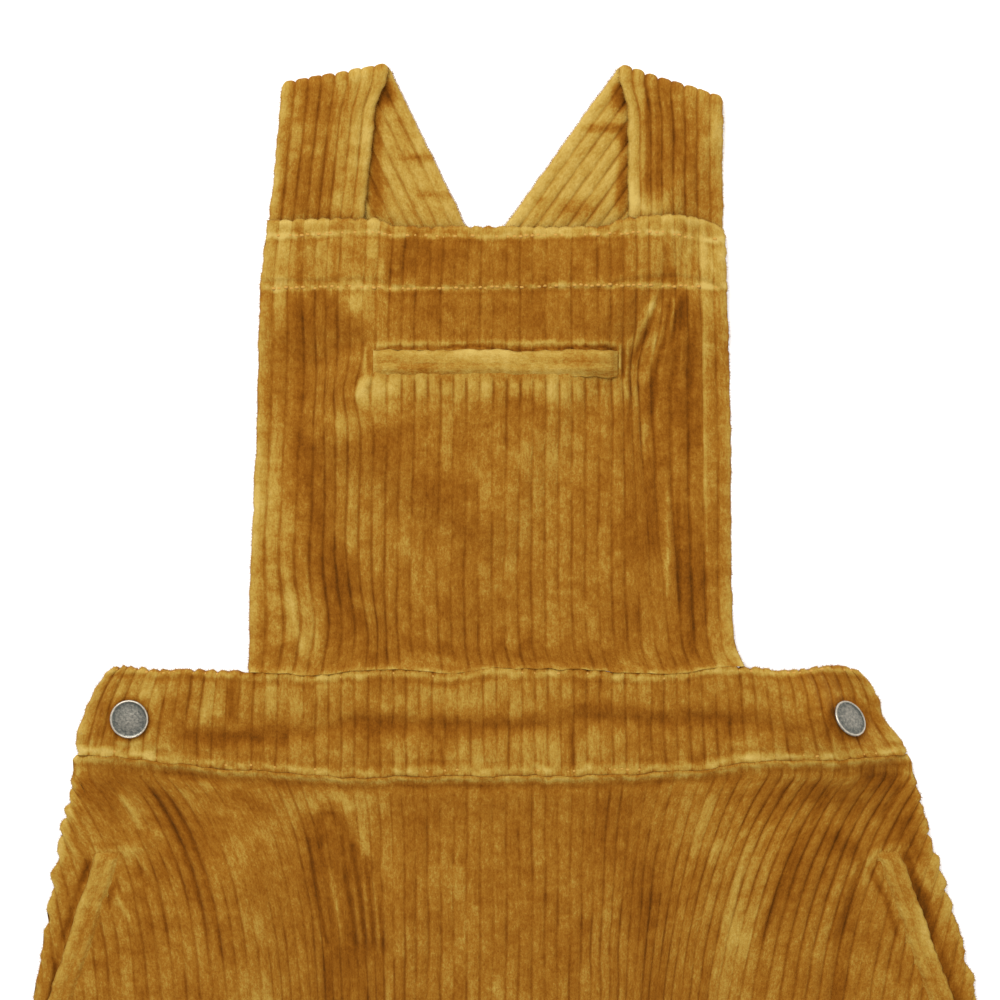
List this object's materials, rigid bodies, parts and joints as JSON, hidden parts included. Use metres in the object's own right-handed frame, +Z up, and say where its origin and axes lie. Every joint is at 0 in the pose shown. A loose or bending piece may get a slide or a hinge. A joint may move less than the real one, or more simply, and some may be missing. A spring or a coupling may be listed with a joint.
{
  "type": "pinafore dress",
  "caption": "Child's wide-wale corduroy pinafore dress laid flat: square bib with crossed shoulder straps, a chest pocket, a snapped waistband and a flared skirt with slanted hip pockets.",
  "frame": {"origin": "under the middle of the dress as it lies, on the surface that it rests on", "axes": "+Y towards the shoulder folds, +X to the right as seen from above, +Z up from the surface"},
  "size_m": [0.456, 0.6088, 0.019],
  "materials": {
    "corduroy": "mustard cotton corduroy with broad brushed wales, matt with a soft sheen",
    "snap_metal": "dull nickel-grey pressed steel",
    "thread": "pale mustard sewing thread"
  },
  "bodies": {
    "root": {"skirt_back": "corduroy", "skirt_front": "corduroy", "waistband_back": "corduroy", "waistband_front": "corduroy", "bib_front": "corduroy", "bib_pocket_welt": "corduroy", "hip_pocket_welt_left": "corduroy", "hip_pocket_welt_right": "corduroy", "strap_left": "corduroy", "strap_right": "corduroy", "snap_left": "snap_metal", "snap_right": "snap_metal"}
  },
  "joints": []
}
